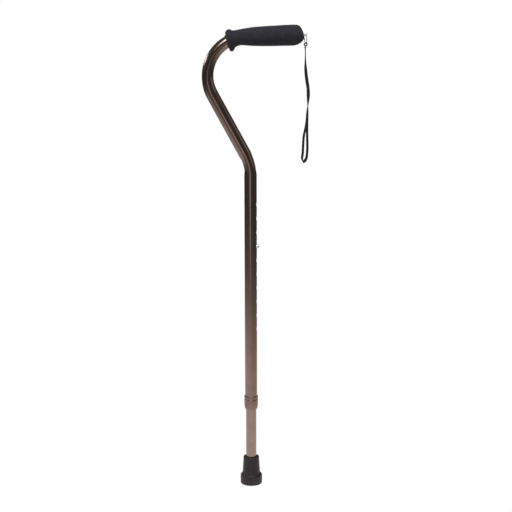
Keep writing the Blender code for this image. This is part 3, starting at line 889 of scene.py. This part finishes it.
# (name, place, what it points at, size, power in watts, tone)
LIGHTS = (
    ("top_softbox", (-0.36, -1.13, 2.44), (0.0, 0.0, 0.7), (1.6, 1.6), 46.0, COOL),
    ("overhead", (0.55, -1.0, 2.6), (0.0, 0.0, 0.2), (0.7, 0.7), 12.0, COOL),
    ("front_panel", (-0.27, -2.16, 0.32), (0.0, 0.0, 0.32), (0.90, 0.60), 1.2, NEUTRAL),
    ("left_softbox", (-2.25, 1.29, 1.58), (0.0, 0.0, 0.8), (1.6, 0.4), 11.0, COOL),
    ("right_panel", (2.4, -0.2, 1.25), (0.0, 0.0, 0.7), (1.5, 1.1), 2.2, NEUTRAL),
)


def make_light(name, place, target, size, power, tone):
    data = bpy.data.lights.new(name, "AREA")
    data.shape = "RECTANGLE"
    data.size, data.size_y = size
    data.energy = power
    data.color = tone
    light = bpy.data.objects.new(name, data)
    bpy.context.scene.collection.objects.link(light)
    light.location = place
    light.rotation_euler = (Vector(target) - Vector(place)).to_track_quat("-Z", "Y").to_euler()


# How bright the studio looks in a reflection: the floor glows with a painted pool of light, brightest at the
# spot below and dimmer with distance from it, and the walls by the height of the direction looked in, from
# level to straight up. Seen directly, both are white.
PAINTED_POOL_CENTRE = (-0.20, 0.0, 0.0)
FLOOR_RADIUS = 6.0
FLOOR_GLOW = (
    (0.0, 0.98), (0.5, 0.98), (0.8, 0.80), (1.05, 0.62), (1.25, 0.48), (1.45, 0.38),
    (1.65, 0.30), (1.85, 0.24), (2.1, 0.17), (2.5, 0.13), (3.4, 0.10), (6.0, 0.09),
)
WALL_GLOW = ((0.0, 0.08), (0.2, 0.08), (0.5, 0.13), (1.0, 0.16))


def grey_ramp(tree, value, reach, glow):
    """Grey levels by a value that runs from 0 to reach."""
    ramp = put(tree, "ValToRGB", {"Fac": between(tree, value, 0.0, reach, 0.0, 1.0)})
    stops = ramp.color_ramp.elements
    stops.remove(stops[1])
    for k, (level, grey) in enumerate(glow):
        stop = stops[0] if k == 0 else stops.new(level / reach)
        stop.position = level / reach
        stop.color = (grey, grey, grey, 1.0)
    return ramp.outputs["Color"]


def white_when_seen(tree, glow):
    """White where the camera looks straight at it, and this glow where something mirrors it."""
    seen = put(tree, "LightPath").outputs["Is Camera Ray"]
    return blended(tree, seen, glow, WHITE)


def make_world():
    """A white backdrop, in a studio whose walls are dim."""
    world = bpy.data.worlds.new("studio")
    bpy.context.scene.world = world
    world.use_nodes = True
    tree = world.node_tree
    tree.nodes.clear()
    view = put(tree, "TexCoord").outputs["Generated"]
    height = put(tree, "SeparateXYZ", {"Vector": view}).outputs["Z"]
    shade = white_when_seen(tree, grey_ramp(tree, height, 1.0, WALL_GLOW))
    background = put(tree, "Background", {"Color": shade, "Strength": 1.0})
    output = put(tree, "OutputWorld")
    tree.links.new(background.outputs["Background"], output.inputs["Surface"])


def make_floor():
    """A white glowing floor; in a reflection, a painted pool of light brightest round the cane and dimmer
    further off.
    """
    bm = bmesh.new()
    bmesh.ops.create_circle(bm, cap_ends=True, segments=128, radius=FLOOR_RADIUS)
    mesh = bpy.data.meshes.new("floor")
    bm.to_mesh(mesh)
    bm.free()
    material, tree, shader = new_material("pale_floor")
    spots = {0: place_of(tree), 1: PAINTED_POOL_CENTRE}
    away = put(tree, "VectorMath", spots, operation="DISTANCE").outputs["Value"]
    glow = white_when_seen(tree, grey_ramp(tree, away, FLOOR_RADIUS, FLOOR_GLOW))
    # The floor glows instead of being lit: a painted pool of light in reflections, plain white when seen.
    tree.links.new(glow, shader.inputs["Emission Color"])
    shader.inputs["Emission Strength"].default_value = 1.0
    shader.inputs["Base Color"].default_value = BLACK
    shader.inputs["Specular IOR Level"].default_value = 0.0
    mesh.materials.append(material)
    floor = bpy.data.objects.new("floor", mesh)
    bpy.context.scene.collection.objects.link(floor)


def make_object():
    """All pieces. The cord and what hangs on it come first."""
    webbing = webbing_material()
    crimp_plastic = plastic_material("crimp_black", colour(22, 22, 24), colour(36, 36, 38), 0.42)
    strap_eye = make_strap_eye(webbing)
    crimp = make_crimp(crimp_plastic)
    make_wrist_strap(webbing)

    bronze = anodised("bronze_tube", (0.29, 0.200, 0.162, 1.0), (0.45, 0.36, 0.30, 1.0), 0.19)
    bronze_leg = anodised("bronze_leg_tube", (0.33, 0.245, 0.195, 1.0), (0.50, 0.42, 0.36, 1.0), 0.26)
    collar = turned_metal("bronze_collar", (0.27, 0.182, 0.150, 1.0), 0.28)
    plated = plated_material("nickel_plate", (0.78, 0.77, 0.74, 1.0), 0.16)
    spring = plated_material("blued_spring", (0.36, 0.37, 0.40, 1.0), 0.30)
    nylon = plastic_material("natural_nylon", colour(214, 210, 198), colour(232, 229, 218), 0.40)
    black = plastic_material("black_nylon", colour(24, 24, 26), colour(38, 38, 40), 0.45)

    make_upper_tube(bronze)
    make_lower_tube(bronze_leg)
    make_grip(foam_material())
    make_split_ring(plated)
    make_screw_eye(plated)
    make_stop_ring(collar)
    make_lock_nut(collar)
    make_tip(rubber_material())
    make_button(plated)
    dress("handle_plug", black)
    dress("clamp_ring", nylon)
    dress("guide_bush", nylon)
    dress("button_spring", spring)
    dress("tip_washer", plated)


def make_studio():
    make_world()
    make_floor()
    for light in LIGHTS:
        make_light(*light)
    bpy.context.scene.view_settings.view_transform = "Standard"


make_camera()
make_object()
make_studio()
